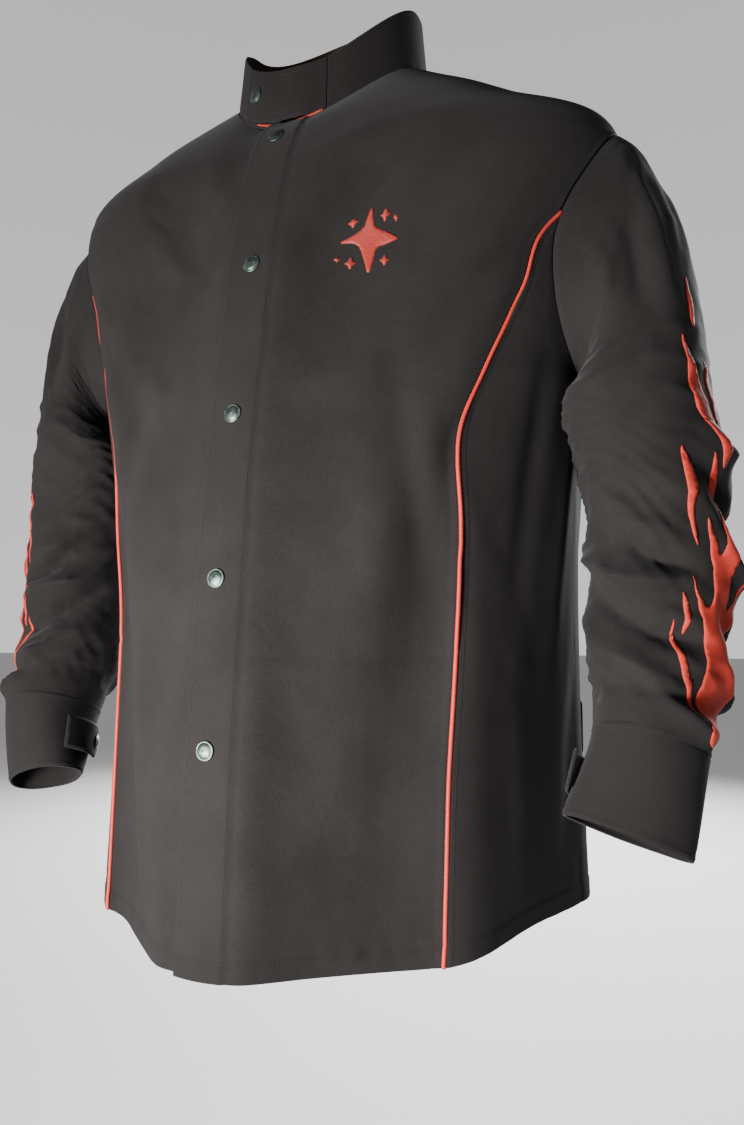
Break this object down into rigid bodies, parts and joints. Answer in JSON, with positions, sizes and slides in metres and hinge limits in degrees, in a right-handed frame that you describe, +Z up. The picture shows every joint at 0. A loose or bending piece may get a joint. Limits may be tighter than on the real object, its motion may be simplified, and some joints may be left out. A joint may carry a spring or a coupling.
{
  "type": "welding jacket",
  "caption": "Long-sleeved flame-resistant cloth welding jacket with stand collar, snap front, piped princess seams, snap cuffs and waist tabs.",
  "frame": {"origin": "centre of the neck opening, level with the side of the neck seam less 35 mm; the jacket is held up here by a neck or hanger", "axes": "+Z up, -Y to the front of the wearer, +X to the left of the wearer"},
  "size_m": [0.7106, 0.364, 0.8863],
  "materials": {
    "jacket_cloth": "matte black cotton twill",
    "piping_cloth": "smooth red piping",
    "lining_cloth": "dark brown facing",
    "label_cloth": "woven label, blank",
    "snap_cap_metal": "dark satin nickel",
    "snap_metal": "satin nickel"
  },
  "bodies": {
    "torso": {"back_panel": "jacket_cloth", "back_yoke": "jacket_cloth", "collar_band": "jacket_cloth", "collar_lining": "lining_cloth", "collar_snap_stud": "snap_metal", "front_snap_caps_upper": "snap_cap_metal", "front_snap_sockets_upper": "snap_metal", "front_snap_studs_upper": "snap_metal", "hanger_loop": "jacket_cloth", "left_chest_panel": "jacket_cloth", "left_piping": "piping_cloth", "left_placket_upper": "jacket_cloth", "left_side_panel": "jacket_cloth", "left_sleeve_cap": "jacket_cloth", "left_waist_tab_stud": "snap_metal", "neck_label": "label_cloth", "right_chest_panel": "jacket_cloth", "right_piping": "piping_cloth", "right_placket_upper": "jacket_cloth", "right_side_panel": "jacket_cloth", "right_sleeve_cap": "jacket_cloth", "right_waist_tab_stud": "snap_metal"},
    "collar_tab": {"collar_snap_cap": "snap_cap_metal", "collar_snap_socket": "snap_metal", "collar_tab": "jacket_cloth"},
    "left_front": {"front_snap_caps_lower": "snap_cap_metal", "front_snap_sockets_lower": "snap_metal", "left_front_panel": "jacket_cloth", "left_placket_lower": "jacket_cloth"},
    "right_front": {"front_snap_studs_lower": "snap_metal", "right_front_panel": "jacket_cloth", "right_placket_lower": "jacket_cloth"},
    "left_forearm": {"left_cuff": "jacket_cloth", "left_cuff_tab_stud": "snap_metal", "left_forearm_sleeve": "jacket_cloth"},
    "left_cuff_tab": {"left_cuff_tab": "jacket_cloth", "left_cuff_tab_snap_cap": "snap_cap_metal", "left_cuff_tab_snap_socket": "snap_metal"},
    "left_upper_arm": {"left_elbow_section": "jacket_cloth", "left_upper_sleeve": "jacket_cloth"},
    "left_waist_tab": {"left_waist_tab": "jacket_cloth", "left_waist_tab_snap_cap": "snap_cap_metal", "left_waist_tab_snap_socket": "snap_metal"},
    "right_forearm": {"right_cuff": "jacket_cloth", "right_cuff_tab_stud": "snap_metal", "right_forearm_sleeve": "jacket_cloth"},
    "right_cuff_tab": {"right_cuff_tab": "jacket_cloth", "right_cuff_tab_snap_cap": "snap_cap_metal", "right_cuff_tab_snap_socket": "snap_metal"},
    "right_upper_arm": {"right_elbow_section": "jacket_cloth", "right_upper_sleeve": "jacket_cloth"},
    "right_waist_tab": {"right_waist_tab": "jacket_cloth", "right_waist_tab_snap_cap": "snap_cap_metal", "right_waist_tab_snap_socket": "snap_metal"}
  },
  "joints": [
    {"name": "left_front_open", "type": "hinge", "parent": "torso", "child": "left_front", "pos_m": [0.158, -0.124, -0.54], "axis": [0, 0, 1], "range_deg": [0, 75], "deforming": ["left_chest_panel", "left_placket_upper"]},
    {"name": "right_front_open", "type": "hinge", "parent": "torso", "child": "right_front", "pos_m": [-0.158, -0.124, -0.54], "axis": [0, 0, -1], "range_deg": [0, 45], "deforming": ["right_chest_panel", "right_placket_upper"]},
    {"name": "collar_tab_open", "type": "hinge", "parent": "torso", "child": "collar_tab", "pos_m": [0.03259, -0.08189, -0.00685], "axis": [-0.0338, 0.085, 0.9958], "range_deg": [0, 80]},
    {"name": "left_sleeve_raise", "type": "hinge", "parent": "torso", "child": "left_upper_arm", "pos_m": [0.293, 0.015, -0.29], "axis": [0, -1, 0], "range_deg": [0, 30], "deforming": ["left_sleeve_cap"]},
    {"name": "left_elbow_bend", "type": "hinge", "parent": "left_upper_arm", "child": "left_forearm", "pos_m": [0.298, 0.01, -0.4], "axis": [-1, 0, 0], "range_deg": [0, 80], "deforming": ["left_elbow_section"]},
    {"name": "left_cuff_tab_open", "type": "hinge", "parent": "left_forearm", "child": "left_cuff_tab", "pos_m": [0.22093, -0.07205, -0.58686], "axis": [0.1718, 0.3454, 0.9226], "range_deg": [0, 18]},
    {"name": "left_waist_tab_open", "type": "hinge", "parent": "torso", "child": "left_waist_tab", "pos_m": [0.23118, 0.04627, -0.57283], "axis": [0.0122, 0.0076, -0.9999], "range_deg": [0, 80]},
    {"name": "right_sleeve_raise", "type": "hinge", "parent": "torso", "child": "right_upper_arm", "pos_m": [-0.293, 0.015, -0.29], "axis": [0, 1, 0], "range_deg": [0, 30], "deforming": ["right_sleeve_cap"]},
    {"name": "right_elbow_bend", "type": "hinge", "parent": "right_upper_arm", "child": "right_forearm", "pos_m": [-0.298, 0.01, -0.4], "axis": [-1, 0, 0], "range_deg": [0, 80], "deforming": ["right_elbow_section"]},
    {"name": "right_cuff_tab_open", "type": "hinge", "parent": "right_forearm", "child": "right_cuff_tab", "pos_m": [-0.22093, -0.07205, -0.58686], "axis": [0.1718, -0.3454, -0.9226], "range_deg": [0, 18]},
    {"name": "right_waist_tab_open", "type": "hinge", "parent": "torso", "child": "right_waist_tab", "pos_m": [-0.23118, 0.04627, -0.57283], "axis": [0.0122, -0.0076, 0.9999], "range_deg": [0, 80]}
  ],
  "couplings": [
    {"joint": "right_front_open", "follows": "left_front_open", "ratio": 0.6}
  ]
}
